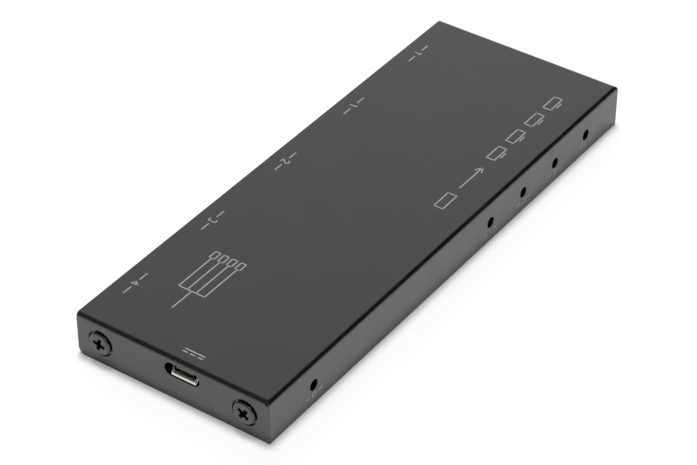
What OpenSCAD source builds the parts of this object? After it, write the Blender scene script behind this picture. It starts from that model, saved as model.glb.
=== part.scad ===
// Slim splitter box for digital video: one input socket and four output sockets along one
// long side, a row of indicator lights along the other, and a power socket in one end.
// A folded cover is screwed over a folded tray, and the tray carries the circuit board.
// +X runs along the box away from the power socket, +Y faces the video sockets, +Z is up.
// The origin is the middle of the underside.

/* [Case] */
// Length over the two end flanges
case_l = 145; // [142:0.5:160]
// Width from the light side to the socket side
case_w = 52.5; // [51:0.5:62]
// Height from the surface it lies on to the top
case_h = 11.4; // [11:0.1:14]
// Thickness of the folded sheet
sheet_t = 0.8; // [0.7:0.05:1]
// Inside radius of every fold
fold_inner_r = 0.3; // [0.2:0.1:0.6]
// Diameter of the relief hole beside each closed corner of the cover
relief_d = 0.9; // [0.5:0.1:1.2]
// Gap along the mitred corner seams of the cover
seam_gap = 0.06; // [0.04:0.01:0.3]
// Radius of the free lower corners of the end flanges
flange_corner_r = 1.7; // [0.5:0.1:2.5]
// Clearance between the cover and the tray inside it
seat_gap = 0.1; // [0.05:0.05:0.25]
// Set-back of the socket wall from the cover's edge
wall_setback = 0.2; // [0:0.05:0.4]

/* [Cover screws] */
// Distance of the cover screws from the long sides of the case
cover_screw_inset = 6.5; // [6.5:0.25:8]
// Height of the cover screws above the underside
cover_screw_z = 5.7; // [5:0.05:6]
// Thread diameter of the cover screws
cover_thread_d = 3; // [2:0.5:3]
// Head diameter of the cover screws
cover_head_d = 5.3; // [4.6:0.1:5.8]
// Thickness of the straight rim of the head
cover_head_rim = 0.7; // [0.5:0.1:0.8]
// Length of a cover screw, head included
cover_screw_l = 4; // [3.8:0.1:4.5]
// Diameter of the round recess pressed into the flange
head_recess_d = 6.9; // [6.4:0.1:7.2]
// Depth of the round recess
head_recess_depth = 0.5; // [0.3:0.05:0.5]
// Radial clearance round the screws in their holes
screw_gap = 0.05; // [0.02:0.01:0.1]
// Width of the upturned tab behind each cover screw
tab_w = 9; // [8:0.5:10]
// Wall thickness of the drawn collar that holds the thread
collar_wall = 0.9; // [0.6:0.1:1.2]
// Depth of the drawn collar behind its tab
collar_l = 1.4; // [1:0.1:1.6]
// Span of the cross recess in a cover screw
cover_cross_span = 3.1; // [2.4:0.1:3.4]
// Angle at which the cross recesses stop when the screws are tight
cover_cross_turn = 20; // [0:5:90]

/* [Circuit board] */
// Thickness of the board
board_t = 1.6; // [1.2:0.2:1.6]
// Height of the standoffs under the board
standoff_h = 4.8; // [4.6:0.1:5]
// Diameter of the standoffs
standoff_d = 5; // [4.5:0.1:5.5]
// Diameter of the standoff foot riveted into the tray
standoff_foot_d = 3.8; // [3.4:0.1:4.2]
// Distance of the standoffs from the ends of the case
standoff_inset = 10.5; // [9.5:0.5:13]
// Distance between the standoffs across the box
standoff_span_y = 21; // [18:0.5:22]
// Place across the box of the middle of the standoffs
standoff_mid_y = -5; // [-6:0.5:-4]
// Thread diameter of the board screws
board_thread_d = 2.5; // [2:0.5:2.5]
// Head diameter of the board screws
board_head_d = 4.5; // [4:0.1:5]
// Head height of the board screws
board_head_h = 1.5; // [1.2:0.1:1.8]
// Length of a board screw under its head
board_screw_l = 4.4; // [3.8:0.1:4.6]
// Span of the cross recess in a board screw
board_cross_span = 2.5; // [2:0.1:2.8]
// Clearance between the board's ends and the tips of the cover screws
board_end_gap = 0.4; // [0.3:0.1:1]
// Clearance between the board's rear edge and the socket wall
board_rear_gap = 0.4; // [0.3:0.1:1]
// Thickness of the insulation film on the tray
film_t = 0.2; // [0.1:0.05:0.4]
// Margin of the film inside the flat of the tray
film_margin = 0.6; // [0.4:0.1:2]
// Clearance of the film round each standoff
film_hole_gap = 0.6; // [0.3:0.1:1]

/* [Video sockets] */
// Distance of the end sockets from the ends of the case, before the shift
socket_inset = 16; // [14:0.25:20]
// Shift of the row of sockets along the box
socket_mid_x = -0.5; // [-1:0.25:1]
// Width of the mouth on its wide upper side
mouth_w = 14; // [13.9:0.05:14.1]
// Width of the mouth on its narrow lower side
mouth_narrow_w = 11; // [10.5:0.1:11.5]
// Height of the mouth
mouth_h = 4.55; // [4.5:0.05:4.6]
// Height of the tapered lower corners of the mouth
mouth_taper_h = 1.5; // [1.2:0.1:1.8]
// Thickness of the socket shell
shell_t = 0.4; // [0.3:0.05:0.5]
// Depth of a video socket
socket_l = 11.2; // [10.5:0.1:12]
// Depth to which a socket's underside sinks below the board's top
socket_sink = 3.6; // [3.4:0.1:3.9]
// Clearance of the socket in the wall and in the board
socket_gap = 0.25; // [0.15:0.05:0.4]
// Width of the contact tongue
tongue_w = 11; // [10.6:0.1:11.4]
// Thickness of the contact tongue
tongue_t = 1.5; // [1.2:0.1:1.8]
// Distance of the tongue's tip behind the mouth
tongue_setback = 2; // [1.6:0.1:2.4]
// Thickness of the moulded block at the back of a socket
block_l = 2.8; // [2.4:0.1:3.4]
// Spacing of the contacts on one side of the tongue
contact_pitch = 1; // [1:0.01:1.02]
// Width of a contact
contact_w = 0.35; // [0.3:0.01:0.38]
// Thickness of a contact
contact_t = 0.15; // [0.1:0.01:0.2]
// Distance of a contact's end behind the tongue's tip
contact_setback = 0.6; // [0.4:0.1:1]
// Length of the foot that each contact solders to the board
contact_foot_l = 1; // [0.8:0.1:1.4]
// Reach of the solder ears beside a socket
ear_reach = 1.5; // [1.2:0.1:2]
// Width of the solder ears
ear_w = 1.6; // [1.2:0.1:2]
// Distance of the front ears behind the mouth
ear_front_setback = 4; // [3.6:0.1:4.6]
// Distance of the rear ears behind the mouth
ear_rear_setback = 9; // [8:0.1:9.4]
// Thickness of the pins on the solder ears
ear_pin_t = 0.35; // [0.3:0.05:0.5]
// Length of the pins below the board
ear_pin_stub = 0.7; // [0.4:0.1:1]
// Clearance round each pin in its slot
pin_gap = 0.1; // [0.05:0.05:0.2]

/* [Power socket] */
// Place across the box of the power socket
power_y = -3.25; // [-5:0.05:1]
// Outer width of the power socket on its wide upper side
power_w = 7.2; // [7.1:0.05:7.3]
// Outer width of the power socket on its narrow lower side
power_narrow_w = 6; // [5.6:0.1:6.2]
// Outer height of the power socket
power_h = 2.3; // [2.2:0.05:2.4]
// Height of the straight sides above the tapered ones
power_shoulder_h = 1; // [0.8:0.1:1.2]
// Cut-off of the upper corners of the power socket
power_corner = 0.5; // [0.3:0.05:0.6]
// Sheet thickness of the power socket's shell
power_shell_t = 0.25; // [0.2:0.05:0.3]
// Length of the power socket
power_l = 5.4; // [5:0.1:6]
// Depth of the power socket's mouth behind the end of the case
power_setback = 0.7; // [0.6:0.05:0.8]
// Depth of the lip's face behind the end of the case
lip_setback = 0.15; // [0.1:0.05:0.3]
// Width of the lip bent down under the mouth
lip_w = 6.6; // [6:0.1:6.8]
// Drop of the lip below the power socket
lip_drop = 0.5; // [0.3:0.05:0.6]
// Clearance of the power socket at each end of the slot in the cover
slot_gap_side = 1.2; // [1:0.05:1.3]
// Clearance of the slot below the lip
slot_gap_low = 0.5; // [0.3:0.05:0.6]
// Clearance of the slot above the power socket
slot_gap_high = 0.2; // [0.2:0.05:0.3]
// Sideways shift of the slot from the middle of the power socket
slot_shift = 0.3; // [-0.3:0.05:0.35]
// Width of the power socket's tongue
power_tongue_w = 4.7; // [4.2:0.1:5]
// Thickness of the power socket's tongue
power_tongue_t = 0.6; // [0.5:0.1:0.7]
// Distance of the power tongue's top below the top of the power socket
power_tongue_drop = 0.5; // [0.4:0.05:0.6]
// Distance of the power tongue's tip behind the mouth
power_tongue_setback = 0.1; // [0:0.05:0.4]
// Thickness of the moulded block at the back of the power socket
power_block_l = 1.4; // [1:0.1:2]
// Spacing of the power socket's contacts
power_contact_pitch = 0.65; // [0.6:0.01:0.7]
// Margin of the board beside the power socket
power_board_margin = 1.6; // [1:0.1:2]

/* [Lights] */
// Distance of the first output's light from the end of the case
light_inset = 15; // [13:0.1:18]
// Spacing of the output lights
light_pitch = 14.4; // [13:0.2:15]
// Distance of the power light from the end with the power socket
light_power_inset = 16.1; // [14:0.1:20]
// Height of the lights above the underside
light_z = 5.3; // [5.2:0.05:5.6]
// Diameter of the holes in front of the lights
light_hole_d = 2.8; // [2.4:0.1:2.8]
// Diameter of a light's round body
light_d = 2.9; // [2.8:0.05:3]
// Diameter of the collar at the back of a light
light_collar_d = 3.4; // [3.2:0.1:3.6]
// Thickness of that collar
light_collar_t = 0.8; // [0.6:0.1:1]
// Length of a light from its tip to its back
light_l = 4; // [3.8:0.1:4.6]
// Gap between a light's tip and the cover
light_gap = 0.3; // [0.2:0.1:0.6]
// Gap between a light's back and the board's front edge
light_board_gap = 0.3; // [0.2:0.1:0.6]
// Thickness of the wires of a light
light_wire_t = 0.5; // [0.4:0.05:0.6]
// Spacing of the two wires of a light
light_wire_pitch = 1.27; // [1:0.01:1.3]
// Length of the wires on the board
light_wire_l = 3; // [2:0.1:4]

/* [Electronics] */
// Side of the splitter chip
chip_w = 14; // [12:0.5:16]
// Height of the splitter chip
chip_h = 1; // [0.9:0.1:1.4]
// Place across the box of the splitter chip
chip_y = -4; // [-6:0.5:-2]
// Clearance between neighbouring small parts on the board
part_gap = 0.8; // [0.5:0.1:1.2]
// Place along the box of the controller chip
controller_x = -26; // [-30:0.5:-20]
// Place along the box of the memory chip
memory_x = -14; // [-18:0.5:-12]
// Distance of the power converter's coil behind the supply capacitors
coil_setback = 11; // [9:0.5:14]
// Place along the box of the crystal can
crystal_x = 14; // [12:0.5:20]
// Clearance between the power socket's contacts and the supply capacitors
supply_setback = 6.5; // [4:0.5:8]
// Distance of the memory chip and the crystal from the board's front edge
small_row_inset = 8; // [7:0.5:9]
// Side of the controller chip
controller_w = 6; // [5:0.5:7]
// Height of the controller chip
controller_h = 0.9; // [0.8:0.1:1.2]
// Length of the memory chip
memory_l = 5; // [4.8:0.1:5.2]
// Width of the memory chip
memory_w = 4; // [3.8:0.1:4.2]
// Height of the memory chip
memory_h = 1.5; // [1.3:0.1:1.7]
// Side of the coil of the power converter
coil_w = 5; // [4:0.2:6]
// Height of the coil
coil_h = 2.4; // [2:0.1:3]
// Diameter of the coil's round core
coil_core_d = 3.6; // [3:0.1:3.8]
// Length of the regulator
regulator_l = 3; // [2.8:0.1:3.2]
// Width of the regulator
regulator_w = 1.7; // [1.5:0.1:1.9]
// Height of the regulator
regulator_h = 1.1; // [1:0.1:1.3]
// Length of the crystal can
crystal_l = 5; // [4.5:0.1:5.5]
// Width of the crystal can
crystal_w = 3.2; // [2.5:0.1:3.5]
// Height of the crystal can
crystal_h = 0.9; // [0.7:0.1:1.2]
// Length of a supply capacitor
supply_l = 3.2; // [3:0.1:3.6]
// Width of a supply capacitor
supply_w = 1.6; // [1.4:0.1:1.8]
// Height of a supply capacitor
supply_h = 1.5; // [1.2:0.1:1.8]
// Length of a signal capacitor
signal_l = 1; // [0.8:0.1:1.2]
// Width of a signal capacitor
signal_w = 0.5; // [0.4:0.05:0.6]
// Length of a surge array
surge_l = 2.5; // [2.2:0.1:2.8]
// Width of a surge array
surge_w = 1; // [0.8:0.1:1.2]
// Height of a surge array
surge_h = 0.6; // [0.5:0.05:0.8]

/* [Hidden] */
$fn = 48;
// Small overshoot that lets a cut pass clean through
past = 1;

PORTS = ["output_4", "output_3", "output_2", "output_1", "input"];
LIGHTS = ["output_4", "output_3", "output_2", "output_1", "power"];

// Folded sheet
fold_r = fold_inner_r + sheet_t;
half_l = case_l / 2;
half_w = case_w / 2;
tray_half_l = half_l - sheet_t - seat_gap;
tray_front_y = -half_w + sheet_t + seat_gap;
wall_y = half_w - wall_setback;
wall_top = case_h - sheet_t - seat_gap;
shoulder_top = case_h - fold_r - seat_gap;
tray_flat_y = wall_y - fold_r;
tab_relief = sheet_t / 2;
floor_half_l = tray_half_l - fold_r;

// Cover screws
cover_screw_y = half_w - cover_screw_inset;
cover_thread_r = cover_thread_d / 2;
cover_head_r = cover_head_d / 2;
cover_head_cone = cover_head_r - cover_thread_r;
head_proud = cover_head_rim - head_recess_depth;
tab_inner_depth = 2 * sheet_t + seat_gap;
// Slot width and depth of a cross recess, as shares of its span
cross_slot_share = 0.22;
cross_depth_share = 0.33;

// Circuit board
board_z = sheet_t + standoff_h;
board_top = board_z + board_t;
board_half_l = half_l + head_proud - cover_screw_l - board_end_gap;
board_front = -half_w + sheet_t + light_gap + light_l + light_board_gap;
board_rear = wall_y - sheet_t - board_rear_gap;
standoff_places = [
    for (sx = [-1, 1], sy = [-1, 1])
    [sx * (half_l - standoff_inset), standoff_mid_y + sy * standoff_span_y / 2]
];

// Video sockets
socket_pitch = (case_l - 2 * socket_inset) / (len(PORTS) - 1);
shell_w = mouth_w + 2 * shell_t;
shell_h = mouth_h + 2 * shell_t;
socket_z = board_top - socket_sink + shell_h / 2;
socket_back = wall_y - socket_l;
tail_room = 3 * contact_t + 2 * socket_gap;
notch_back = socket_back - tail_room;
ear_places = [-ear_front_setback, -ear_rear_setback];
ear_pin_x = shell_w / 2 + ear_reach - ear_pin_t;
// Upper contacts first, then the lower ones between them: [place across, side of the tongue]
contacts = concat(
    [for (i = [0 : 9]) [(i - 4.5) * contact_pitch, 1]],
    [for (i = [0 : 8]) [(i - 4) * contact_pitch, -1]]
);
function socket_x(i) = socket_mid_x + (i - 2) * socket_pitch;

// Power socket
power_mouth_x = -half_l + power_setback;
power_back_x = power_mouth_x + power_l;
power_tongue_x = power_mouth_x + power_tongue_setback;
power_tongue_z = board_top + power_h - power_tongue_drop;
power_board_half_w = power_w / 2 + power_board_margin;
power_tail_x = power_back_x + 2 * contact_t;
slot_l = power_w + 2 * slot_gap_side;
slot_h = power_h + lip_drop + slot_gap_low + slot_gap_high;
slot_z = board_top + power_h + slot_gap_high - slot_h / 2;

// Lights
function output_light_x(i) = half_l - light_inset - (3 - i) * light_pitch;
function light_x(i) = i < 4 ? output_light_x(i) : -half_l + light_power_inset;
light_tip_y = -half_w + sheet_t + light_gap;
light_back_y = light_tip_y + light_l;

// Places of the parts on the board, as [x, y] of their middles
supply_x = power_tail_x + contact_foot_l + supply_setback + supply_w / 2;
supply_step = (supply_l + part_gap) / 2;
coil_x = supply_x + coil_setback;
controller_place = [controller_x, chip_y];
memory_place = [memory_x, board_front + small_row_inset];
regulator_place = [coil_x - coil_w / 2 - part_gap - regulator_w / 2, chip_y];
coil_place = [coil_x, chip_y];
crystal_place = [crystal_x, board_front + small_row_inset];
supply_places = [for (side = [-1, 1]) [supply_x, power_y + side * supply_step]];
signal_y = notch_back - contact_foot_l - part_gap - signal_l / 2;
surge_y = signal_y - signal_l / 2 - part_gap - surge_w / 2;

// A rectangle from the origin with the corner at the origin rounded
module one_round_corner(length, height, r) {
    difference() {
        square([length, height]);
        difference() {
            translate([-past, -past])
                square(r + past);
            translate([r, r])
                circle(r = r);
        }
    }
}

// Section of a sheet folded up once: a leg along X and a leg along Y, with the fold at the origin
module folded_section(length, height) {
    difference() {
        one_round_corner(length, height, fold_r);
        translate([sheet_t, sheet_t])
            one_round_corner(length, height, fold_inner_r);
    }
}

// A section drawn in Y and Z, carried along X on both sides of the middle
module carry_along(half_length) {
    translate([-half_length, 0, 0])
        rotate([90, 0, 90])
        linear_extrude(height = 2 * half_length)
        children();
}

// A section drawn in X and Z, carried along +Y
module carry_across(length) {
    translate([0, length, 0])
        rotate([90, 0, 0])
        linear_extrude(height = length)
        children();
}

// Shows its children at both ends of the box
module at_both_ends() {
    children();
    mirror([1, 0, 0]) children();
}

// Shows its children at each cover screw, with Z running inwards from the end face
module at_cover_screws() {
    at_both_ends()
        for (side = [-1, 1])
        translate([-half_l, side * cover_screw_y, cover_screw_z])
        rotate([0, 90, 0])
        children();
}

// The cross recess of a screw, as a shape to cut from a head whose top is at z = 0
module cross_recess(span) {
    slot_w = span * cross_slot_share;
    depth = span * cross_depth_share;
    for (turn = [0, 90])
        rotate([0, 0, turn])
        translate([-span / 2, -slot_w / 2, -depth / 2])
        cube([span, slot_w, depth]);
    translate([0, 0, -depth])
        cylinder(h = depth + past, r1 = slot_w / 2, r2 = depth);
}

// The stepped hole that a cover screw passes through
module cover_screw_hole() {
    ease = 2 * screw_gap;
    translate([0, 0, -past])
        cylinder(h = past + head_recess_depth, d = head_recess_d);
    translate([0, 0, head_recess_depth - screw_gap])
        cylinder(h = cover_head_cone, r1 = cover_head_r + ease, r2 = cover_thread_r + ease);
    cylinder(h = tab_inner_depth + collar_l + past, r = cover_thread_r + screw_gap);
}

// Outline of the video socket's mouth, grown outwards by a margin
module mouth_outline(margin) {
    wide = mouth_w / 2 + margin;
    narrow = mouth_narrow_w / 2 + margin;
    top = mouth_h / 2 + margin;
    taper = -mouth_h / 2 + mouth_taper_h;
    half = [[narrow, -top], [wide, taper], [wide, top]];
    polygon(concat(half, [for (k = [2 : -1 : 0]) [-half[k].x, half[k].y]]));
}

// Outline of the power socket with its underside at zero: half widths, underside, shoulder and top
module power_outline(wide, narrow, low, shoulder, high) {
    cut = power_corner;
    half = [[narrow, low], [wide, shoulder], [wide, high - cut], [wide - cut, high]];
    polygon(concat(half, [for (k = [3 : -1 : 0]) [-half[k].x, half[k].y]]));
}

// A power socket outline carried along the socket, from a distance behind the mouth
module power_prism(from, length) {
    translate([power_mouth_x + from, power_y, board_top])
        rotate([90, 0, 90])
        linear_extrude(height = length)
        children();
}

// The folded tray: floor, socket wall and the four tabs that take the cover screws.
module base_tray() {
    color("#2b2c2e")
        difference() {
            union() {
                tray_floor();
                tray_wall();
                at_both_ends()
                    for (side = [-1, 1])
                    translate([0, side * cover_screw_y - tab_w / 2, 0])
                    tray_tab();
            }
            for (i = [0 : len(PORTS) - 1])
                translate([socket_x(i), wall_y + past, socket_z])
                rotate([90, 0, 0])
                linear_extrude(height = sheet_t + 2 * past)
                mouth_outline(shell_t + socket_gap);
            at_cover_screws()
                cover_screw_hole();
            for (place = standoff_places)
                translate([place.x, place.y, -past])
                cylinder(h = sheet_t + 2 * past, d = standoff_foot_d);
        }
}

module tray_floor() {
    between_tabs = cover_screw_y - tab_w / 2 - tab_relief;
    translate([-floor_half_l, tray_front_y, 0])
        cube([2 * floor_half_l, tray_flat_y - tray_front_y, sheet_t]);
    translate([-tray_half_l, -between_tabs, 0])
        cube([2 * tray_half_l, 2 * between_tabs, sheet_t]);
}

// The wall with the sockets, stepped at its ends to clear the folds of the cover
module tray_wall() {
    crest_half_l = half_l - fold_r;
    translate([0, wall_y, 0])
        mirror([0, 1, 0]) {
            carry_along(tray_half_l)
                folded_section(fold_r, shoulder_top);
            carry_along(floor_half_l)
                folded_section(2 * fold_r, shoulder_top);
        }
    translate([-crest_half_l, wall_y - sheet_t, fold_r])
        cube([2 * crest_half_l, sheet_t, wall_top - fold_r]);
}

// One tab at the near end, with the drawn collar that its thread is cut in
module tray_tab() {
    translate([-tray_half_l, 0, 0])
        carry_across(tab_w)
        folded_section(2 * fold_r, shoulder_top);
    translate([-tray_half_l + sheet_t / 2, tab_w / 2, cover_screw_z])
        rotate([0, 90, 0])
        cylinder(h = collar_l + sheet_t / 2, r = cover_thread_r + screw_gap + collar_wall);
}

// Round standoffs riveted into the tray, threaded for the board screws.
module board_standoffs() {
    thread_end = board_top - board_screw_l - screw_gap;
    color("#b9bcc0")
        for (place = standoff_places)
        translate([place.x, place.y, 0])
        difference() {
            union() {
                cylinder(h = sheet_t, d = standoff_foot_d);
                translate([0, 0, sheet_t])
                    cylinder(h = standoff_h, d = standoff_d);
            }
            translate([0, 0, thread_end])
                cylinder(h = board_top - thread_end, d = board_thread_d + 2 * screw_gap);
        }
}

// Clear film that keeps the solder side of the board off the tray.
module insulation_film() {
    film_half_l = floor_half_l - film_margin;
    color("#d8d2b0")
        difference() {
            translate([-film_half_l, tray_front_y + film_margin, sheet_t])
                cube([2 * film_half_l, tray_flat_y - tray_front_y - 2 * film_margin, film_t]);
            for (place = standoff_places)
                translate([place.x, place.y, 0])
                cylinder(h = board_z, d = standoff_d + 2 * film_hole_gap);
        }
}

// The circuit board, notched for the sunken sockets, with a tongue under the power socket.
module main_board() {
    tongue_l = half_l - sheet_t - board_end_gap - board_half_l;
    color("#1f5a3a")
        difference() {
            translate([0, 0, board_z])
                linear_extrude(height = board_t)
                union() {
                    translate([-board_half_l, board_front])
                        square([2 * board_half_l, board_rear - board_front]);
                    translate([-board_half_l - tongue_l, power_y - power_board_half_w])
                        square([tongue_l + past, 2 * power_board_half_w]);
                }
            for (i = [0 : len(PORTS) - 1])
                translate([socket_x(i), 0, 0])
                board_socket_cuts();
            for (place = standoff_places)
                translate([place.x, place.y, 0])
                cylinder(h = case_h, d = board_thread_d + 4 * screw_gap);
        }
}

// The notch for one socket and the slots for its four pins
module board_socket_cuts() {
    notch_w = shell_w + 2 * socket_gap;
    translate([-notch_w / 2, notch_back, 0])
        cube([notch_w, board_rear - notch_back + past, case_h]);
    for (side = [-1, 1], place = ear_places)
        translate([side * (ear_pin_x + ear_pin_t / 2), wall_y + place, case_h / 2])
        cube([ear_pin_t + 2 * pin_gap, ear_w / 2 + 2 * pin_gap, case_h], center = true);
}

// Pan-head screws that hold the board on its standoffs.
module board_screws() {
    color("#c4c6c8")
        for (place = standoff_places)
        translate([place.x, place.y, board_top])
        difference() {
            union() {
                cylinder(h = board_head_h, d = board_head_d);
                translate([0, 0, -board_screw_l])
                    cylinder(h = board_screw_l, d = board_thread_d);
            }
            translate([0, 0, board_head_h])
                cross_recess(board_cross_span);
        }
}

// A drawn shell round each video socket, with four ears soldered into the board.
module socket_shell(i) {
    color("#b8bbbd")
        translate([socket_x(i), 0, 0]) {
            translate([0, wall_y, socket_z])
                rotate([90, 0, 0])
                linear_extrude(height = socket_l)
                difference() {
                    mouth_outline(shell_t);
                    mouth_outline(0);
                }
            for (side = [0, 1], place = ear_places)
                mirror([side, 0, 0])
                translate([0, wall_y + place, board_top])
                socket_ear();
        }
}

module socket_ear() {
    bite = shell_t / 2;
    translate([shell_w / 2 - bite, -ear_w / 2, 0])
        cube([ear_reach + bite, ear_w, shell_t]);
    translate([ear_pin_x, -ear_w / 4, -board_t - ear_pin_stub])
        cube([ear_pin_t, ear_w / 2, board_t + ear_pin_stub + shell_t / 2]);
}

// The black moulding in a video socket: a block at the back and the contact tongue.
module socket_insulator(i) {
    color("#151515")
        translate([socket_x(i), 0, socket_z])
        difference() {
            union() {
                translate([0, socket_back + block_l, 0])
                    rotate([90, 0, 0])
                    linear_extrude(height = block_l)
                    mouth_outline(0);
                translate([-tongue_w / 2, socket_back, -tongue_t / 2])
                    cube([tongue_w, socket_l - tongue_setback, tongue_t]);
            }
            for (contact = contacts)
                contact_blade(contact, past);
        }
}

// The straight blade of a contact, let half into the tongue, with extra length at the back
module contact_blade(contact, extra) {
    length = socket_l - tongue_setback - contact_setback + extra;
    surface = contact[1] * tongue_t / 2;
    translate([contact[0] - contact_w / 2, socket_back - extra, surface - contact_t / 2])
        cube([contact_w, length, contact_t]);
}

// Nineteen plated contacts: blades on the tongue, and tails bent on to the board.
module socket_contacts(i) {
    color("#c9a24a")
        translate([socket_x(i), 0, socket_z])
        for (contact = contacts) {
            contact_blade(contact, tail_room / 2);
            contact_tail(contact);
        }
}

module contact_tail(contact) {
    foot_z = board_top - socket_z;
    blade_z = contact[1] * tongue_t / 2;
    low = min(foot_z, blade_z - contact_t / 2);
    high = max(foot_z + contact_t, blade_z + contact_t / 2);
    tail_y = socket_back - tail_room / 2;
    translate([contact[0] - contact_w / 2, tail_y - contact_t, low])
        cube([contact_w, contact_t, high - low]);
    translate([contact[0] - contact_w / 2, notch_back - contact_foot_l, foot_z])
        cube([contact_w, contact_foot_l + tail_y - notch_back, contact_t]);
}

// The stamped shell of the power socket, with a lip bent down in front of the board.
module power_socket_shell() {
    wide = power_w / 2;
    narrow = power_narrow_w / 2;
    shoulder = power_h - power_shoulder_h;
    wall = power_shell_t;
    color("#c3c2bb") {
        difference() {
            power_prism(0, power_l)
                power_outline(wide, narrow, 0, shoulder, power_h);
            power_prism(-past, power_l + 2 * past)
                power_outline(wide - wall, narrow - wall, wall, shoulder + wall / 2, power_h - wall);
        }
        translate([-half_l + lip_setback, power_y - lip_w / 2, board_top]) {
            cube([power_setback - lip_setback + wall, lip_w, wall]);
            translate([0, 0, -lip_drop])
                cube([wall, lip_w, lip_drop + wall]);
        }
    }
}

// The black moulding in the power socket: a block at the back and the thin tongue.
module power_socket_insulator() {
    wide = power_w / 2 - power_shell_t;
    narrow = power_narrow_w / 2 - power_shell_t;
    shoulder = power_h - power_shoulder_h + power_shell_t / 2;
    color("#161616")
        difference() {
            union() {
                power_prism(power_l - power_block_l, power_block_l)
                    power_outline(wide, narrow, power_shell_t, shoulder, power_h - power_shell_t);
                translate([power_tongue_x, power_y - power_tongue_w / 2, power_tongue_z - power_tongue_t])
                    cube([power_back_x - power_tongue_x, power_tongue_w, power_tongue_t]);
            }
            for (k = [-2 : 2])
                power_blade(k, past);
        }
}

// The straight blade of a power contact, let half into the underside of the tongue
module power_blade(k, extra) {
    tip_x = power_tongue_x + contact_setback;
    across = power_y + k * power_contact_pitch - contact_w / 2;
    translate([tip_x, across, power_tongue_z - power_tongue_t - contact_t / 2])
        cube([power_back_x + extra - tip_x, contact_w, contact_t]);
}

// Five contacts of the power socket, bent down on to the board behind it.
module power_socket_contacts() {
    tail_h = power_tongue_z - power_tongue_t + contact_t / 2 - board_top;
    color("#c9a24a")
        for (k = [-2 : 2]) {
            power_blade(k, power_tail_x + contact_t - power_back_x);
            translate([power_tail_x, power_y + k * power_contact_pitch - contact_w / 2, board_top]) {
                cube([contact_t, contact_w, tail_h]);
                cube([contact_foot_l, contact_w, contact_t]);
            }
        }
}

// A domed light in front of the board's edge, behind its hole in the cover.
module light(i) {
    dome_r = light_d / 2;
    color(i < 4 ? "#c8d0d4" : "#d4c8c8")
        translate([light_x(i), light_tip_y, light_z])
        rotate([-90, 0, 0])
        union() {
            translate([0, 0, dome_r])
                sphere(r = dome_r);
            translate([0, 0, dome_r])
                cylinder(h = light_l - dome_r, r = dome_r);
            translate([0, 0, light_l - light_collar_t])
                cylinder(h = light_collar_t, d = light_collar_d);
        }
}

// Two wires from the back of each light, soldered side by side under the board.
module light_wires() {
    length = light_board_gap + light_wire_l;
    low = board_z - light_wire_t;
    color("#b4b6b8")
        for (i = [0 : len(LIGHTS) - 1], side = [-1, 1])
        translate([light_x(i) + (side * light_wire_pitch - light_wire_t) / 2, light_back_y, low])
        cube([light_wire_t, length, light_wire_t]);
}

// A flat block on the board, given by its middle and its size
module on_board(place, size) {
    translate([place.x - size.x / 2, place.y - size.y / 2, board_top])
        cube(size);
}

// The chip that copies one video signal to four.
module splitter_chip() {
    color("#1b1b1d")
        on_board([socket_mid_x, chip_y], [chip_w, chip_w, chip_h]);
}

// The soft pad that carries the chip's heat to the cover.
module chip_pad() {
    color("#8f9aa6")
        translate([0, 0, chip_h])
        on_board([socket_mid_x, chip_y], [chip_w, chip_w, case_h - sheet_t - board_top - chip_h]);
}

// The small processor that reads the screens and sets up the splitter.
module controller_chip() {
    color("#1b1b1d")
        on_board(controller_place, [controller_w, controller_w, controller_h]);
}

// The memory that holds the controller's program.
module memory_chip() {
    color("#1b1b1d")
        on_board(memory_place, [memory_l, memory_w, memory_h]);
}

// The regulator that makes the board's supply from the power socket.
module regulator() {
    color("#202022")
        on_board(regulator_place, [regulator_w, regulator_l, regulator_h]);
}

// The regulator's coil: a square base under a round core.
module coil() {
    base_h = coil_h / 4;
    color("#3a3b3d") {
        on_board(coil_place, [coil_w, coil_w, base_h]);
        translate([coil_place.x, coil_place.y, board_top + base_h / 2])
            cylinder(h = coil_h - base_h / 2, d = coil_core_d);
    }
}

// The metal can of the timing crystal.
module crystal_can() {
    color("#c6c7c8")
        on_board(crystal_place, [crystal_l, crystal_w, crystal_h]);
}

// Two supply capacitors behind the power socket.
module supply_capacitors() {
    color("#b49a74")
        for (place = supply_places)
        on_board(place, [supply_w, supply_l, supply_h]);
}

// Four signal capacitors behind each video socket.
module signal_capacitors() {
    color("#a9885e")
        for (i = [0 : len(PORTS) - 1], k = [-1.5 : 1.5])
        on_board([socket_x(i) + k * (signal_w + part_gap), signal_y], [signal_w, signal_l, signal_w]);
}

// Two arrays behind each video socket that divert static discharge.
module surge_arrays() {
    color("#1d1d1f")
        for (i = [0 : len(PORTS) - 1], side = [-1, 1])
        on_board([socket_x(i) + side * (surge_l + part_gap) / 2, surge_y], [surge_l, surge_w, surge_h]);
}

// The folded cover: top, light-side flange and two end flanges, open towards the sockets.
module top_cover() {
    color("#303133")
        difference() {
            union() {
                cover_lid();
                cover_front();
            }
            at_cover_screws()
                cover_screw_hole();
            for (i = [0 : len(LIGHTS) - 1])
                translate([light_x(i), -half_w - past, light_z])
                rotate([-90, 0, 0])
                cylinder(h = sheet_t + 2 * past, d = light_hole_d);
            power_slot();
        }
}

// The slot in front of the power socket, as a shape with round ends to cut from the flange
module power_slot() {
    r = slot_h / 2;
    reach = slot_l / 2 - r;
    depth = sheet_t + 2 * past;
    translate([-half_l - past, power_y + slot_shift, slot_z])
        rotate([0, 90, 0]) {
            for (side = [-1, 1])
                translate([0, side * reach, 0])
                cylinder(h = depth, r = r);
            translate([-r, -reach, 0])
                cube([slot_h, 2 * reach, depth]);
        }
}

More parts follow.
